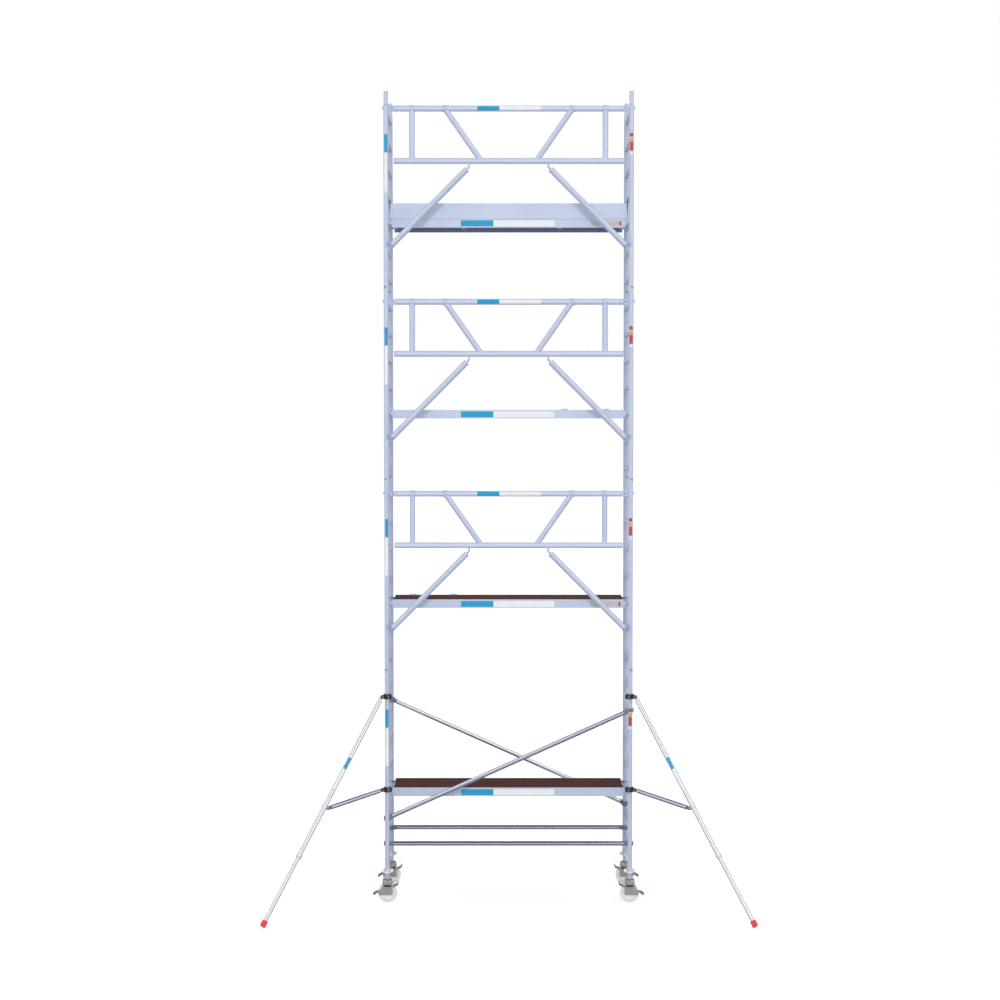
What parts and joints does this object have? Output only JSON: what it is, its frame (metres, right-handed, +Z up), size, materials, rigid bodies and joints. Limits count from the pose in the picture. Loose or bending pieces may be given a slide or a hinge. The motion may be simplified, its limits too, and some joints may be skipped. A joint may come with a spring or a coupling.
{
  "type": "mobile scaffold tower",
  "caption": "Tall aluminium mobile scaffold tower with ladder frames, hatch platforms, swing-braced guardrails, telescopic stabilisers and braked adjustable castors.",
  "frame": {"origin": "on the floor, under the middle of the bounding box", "axes": "+Z up; +X along the platforms to the right as seen from the guardrail side; -Y towards the guardrail and stabiliser side"},
  "size_m": [4.8766, 2.0586, 8.308],
  "materials": {
    "frame_aluminium": "satin",
    "rail_aluminium": "satin",
    "brace_aluminium": "bright",
    "platform_aluminium": "satin",
    "plywood": "phenolic film, anti-slip",
    "black_plastic": "matte",
    "red_rubber": "matte",
    "castor_steel": "zinc grey",
    "brake_steel": "zinc grey",
    "spindle_steel": "zinc plated",
    "spring_steel": "dark",
    "white_plastic": "matte",
    "pale_plastic": "matte"
  },
  "bodies": {
    "tower": {"frame_left_1": "frame_aluminium", "frame_left_2": "frame_aluminium", "frame_left_3": "frame_aluminium", "frame_left_4": "frame_aluminium", "frame_right_1": "frame_aluminium", "frame_right_2": "frame_aluminium", "frame_right_3": "frame_aluminium", "frame_right_4": "frame_aluminium", "lock_clips": "spring_steel", "adjusting_nuts": "pale_plastic", "diagonal_brace_near": "brace_aluminium", "diagonal_brace_far": "brace_aluminium", "horizontal_brace_near": "brace_aluminium", "horizontal_brace_far": "brace_aluminium", "guardrail_2": "rail_aluminium", "guardrail_3": "rail_aluminium", "guardrail_4": "rail_aluminium", "platform_frame_1": "platform_aluminium", "platform_frame_2": "platform_aluminium", "platform_frame_3": "platform_aluminium", "platform_frame_4": "platform_aluminium", "deck_1": "plywood", "deck_2": "plywood", "deck_3": "plywood", "deck_4": "plywood", "toe_boards": "platform_aluminium", "toe_board_clips": "black_plastic"},
    "spindle_left_near": {"spindle_left_near": "spindle_steel"},
    "castor_left_near": {"castor_fork_left_near": "castor_steel"},
    "wheel_left_near": {"wheel_left_near": "white_plastic"},
    "brake_left_near": {"brake_left_near": "brake_steel"},
    "spindle_left_far": {"spindle_left_far": "spindle_steel"},
    "castor_left_far": {"castor_fork_left_far": "castor_steel"},
    "wheel_left_far": {"wheel_left_far": "white_plastic"},
    "brake_left_far": {"brake_left_far": "brake_steel"},
    "spindle_right_near": {"spindle_right_near": "spindle_steel"},
    "castor_right_near": {"castor_fork_right_near": "castor_steel"},
    "wheel_right_near": {"wheel_right_near": "white_plastic"},
    "brake_right_near": {"brake_right_near": "brake_steel"},
    "spindle_right_far": {"spindle_right_far": "spindle_steel"},
    "castor_right_far": {"castor_fork_right_far": "castor_steel"},
    "wheel_right_far": {"wheel_right_far": "white_plastic"},
    "brake_right_far": {"brake_right_far": "brake_steel"},
    "guard_brace_left_2": {"guard_brace_left_2": "rail_aluminium"},
    "guard_brace_left_3": {"guard_brace_left_3": "rail_aluminium"},
    "guard_brace_left_4": {"guard_brace_left_4": "rail_aluminium"},
    "guard_brace_right_2": {"guard_brace_right_2": "rail_aluminium"},
    "guard_brace_right_3": {"guard_brace_right_3": "rail_aluminium"},
    "guard_brace_right_4": {"guard_brace_right_4": "rail_aluminium"},
    "hatch_2": {"hatch_2": "plywood"},
    "hatch_3": {"hatch_3": "plywood"},
    "hatch_4": {"hatch_4": "plywood"},
    "stabiliser_left": {"stabiliser_clamps_left": "black_plastic", "stabiliser_leg_left": "brace_aluminium"},
    "stabiliser_foot_leg_left": {"stabiliser_inner_left": "frame_aluminium", "stabiliser_foot_left": "red_rubber"},
    "stabiliser_right": {"stabiliser_clamps_right": "black_plastic", "stabiliser_leg_right": "brace_aluminium"},
    "stabiliser_foot_leg_right": {"stabiliser_inner_right": "frame_aluminium", "stabiliser_foot_right": "red_rubber"}
  },
  "joints": [
    {"name": "spindle_left_near_height", "type": "slide", "parent": "tower", "child": "spindle_left_near", "axis": [0, 0, -1], "range_m": [0, 0.2]},
    {"name": "castor_left_near_swivel", "type": "hinge", "parent": "spindle_left_near", "child": "castor_left_near", "pos_m": [-1.25, 0.11928, 0.211], "axis": [0, 0, 1], "continuous": true},
    {"name": "wheel_left_near_spin", "type": "hinge", "parent": "castor_left_near", "child": "wheel_left_near", "pos_m": [-1.25, 0.11928, 0.0975], "axis": [0, 1, 0], "continuous": true},
    {"name": "brake_left_near_rocker", "type": "hinge", "parent": "castor_left_near", "child": "brake_left_near", "pos_m": [-1.25, 0.11928, 0.139], "axis": [0, 1, 0], "range_deg": [0, 15]},
    {"name": "spindle_left_far_height", "type": "slide", "parent": "tower", "child": "spindle_left_far", "axis": [0, 0, -1], "range_m": [0, 0.2]},
    {"name": "castor_left_far_swivel", "type": "hinge", "parent": "spindle_left_far", "child": "castor_left_far", "pos_m": [-1.25, 0.96928, 0.211], "axis": [0, 0, 1], "continuous": true},
    {"name": "wheel_left_far_spin", "type": "hinge", "parent": "castor_left_far", "child": "wheel_left_far", "pos_m": [-1.25, 0.96928, 0.0975], "axis": [0, 1, 0], "continuous": true},
    {"name": "brake_left_far_rocker", "type": "hinge", "parent": "castor_left_far", "child": "brake_left_far", "pos_m": [-1.25, 0.96928, 0.139], "axis": [0, 1, 0], "range_deg": [0, 15]},
    {"name": "spindle_right_near_height", "type": "slide", "parent": "tower", "child": "spindle_right_near", "axis": [0, 0, -1], "range_m": [0, 0.2]},
    {"name": "castor_right_near_swivel", "type": "hinge", "parent": "spindle_right_near", "child": "castor_right_near", "pos_m": [1.25, 0.11928, 0.211], "axis": [0, 0, 1], "continuous": true},
    {"name": "wheel_right_near_spin", "type": "hinge", "parent": "castor_right_near", "child": "wheel_right_near", "pos_m": [1.25, 0.11928, 0.0975], "axis": [0, 1, 0], "continuous": true},
    {"name": "brake_right_near_rocker", "type": "hinge", "parent": "castor_right_near", "child": "brake_right_near", "pos_m": [1.25, 0.11928, 0.139], "axis": [0, -1, 0], "range_deg": [0, 15]},
    {"name": "spindle_right_far_height", "type": "slide", "parent": "tower", "child": "spindle_right_far", "axis": [0, 0, -1], "range_m": [0, 0.2]},
    {"name": "castor_right_far_swivel", "type": "hinge", "parent": "spindle_right_far", "child": "castor_right_far", "pos_m": [1.25, 0.96928, 0.211], "axis": [0, 0, 1], "continuous": true},
    {"name": "wheel_right_far_spin", "type": "hinge", "parent": "castor_right_far", "child": "wheel_right_far", "pos_m": [1.25, 0.96928, 0.0975], "axis": [0, 1, 0], "continuous": true},
    {"name": "brake_right_far_rocker", "type": "hinge", "parent": "castor_right_far", "child": "brake_right_far", "pos_m": [1.25, 0.96928, 0.139], "axis": [0, -1, 0], "range_deg": [0, 15]},
    {"name": "guard_brace_left_2_swing", "type": "hinge", "parent": "tower", "child": "guard_brace_left_2", "pos_m": [-0.406, 0.11928, 3.621], "axis": [0, -1, 0], "range_deg": [0, 60]},
    {"name": "guard_brace_left_3_swing", "type": "hinge", "parent": "tower", "child": "guard_brace_left_3", "pos_m": [-0.406, 0.11928, 5.581], "axis": [0, -1, 0], "range_deg": [0, 60]},
    {"name": "guard_brace_left_4_swing", "type": "hinge", "parent": "tower", "child": "guard_brace_left_4", "pos_m": [-0.406, 0.11928, 7.541], "axis": [0, -1, 0], "range_deg": [0, 60]},
    {"name": "guard_brace_right_2_swing", "type": "hinge", "parent": "tower", "child": "guard_brace_right_2", "pos_m": [0.406, 0.11928, 3.621], "axis": [0, 1, 0], "range_deg": [0, 60]},
    {"name": "guard_brace_right_3_swing", "type": "hinge", "parent": "tower", "child": "guard_brace_right_3", "pos_m": [0.406, 0.11928, 5.581], "axis": [0, 1, 0], "range_deg": [0, 60]},
    {"name": "guard_brace_right_4_swing", "type": "hinge", "parent": "tower", "child": "guard_brace_right_4", "pos_m": [0.406, 0.11928, 7.541], "axis": [0, 1, 0], "range_deg": [0, 60]},
    {"name": "hatch_2_hinge", "type": "hinge", "parent": "tower", "child": "hatch_2", "pos_m": [-0.795, 0.86313, 3.1165], "axis": [-1, 0, 0], "range_deg": [0, 90]},
    {"name": "hatch_3_hinge", "type": "hinge", "parent": "tower", "child": "hatch_3", "pos_m": [0.795, 0.29543, 5.0765], "axis": [1, 0, 0], "range_deg": [0, 90]},
    {"name": "hatch_4_hinge", "type": "hinge", "parent": "tower", "child": "hatch_4", "pos_m": [-0.795, 0.86313, 7.0365], "axis": [-1, 0, 0], "range_deg": [0, 90]},
    {"name": "stabiliser_left_swing", "type": "hinge", "parent": "tower", "child": "stabiliser_left", "pos_m": [-1.25, 0.11928, 1.164], "axis": [0, 0, 1], "range_deg": [-45, 45]},
    {"name": "stabiliser_left_telescope", "type": "slide", "parent": "stabiliser_left", "child": "stabiliser_foot_leg_left", "axis": [-0.4251, -0.4106, -0.8067], "range_m": [-0.6, 0.35]},
    {"name": "stabiliser_right_swing", "type": "hinge", "parent": "tower", "child": "stabiliser_right", "pos_m": [1.25, 0.11928, 1.164], "axis": [0, 0, 1], "range_deg": [-45, 45]},
    {"name": "stabiliser_right_telescope", "type": "slide", "parent": "stabiliser_right", "child": "stabiliser_foot_leg_right", "axis": [0.4251, -0.4106, -0.8067], "range_m": [-0.6, 0.35]}
  ]
}
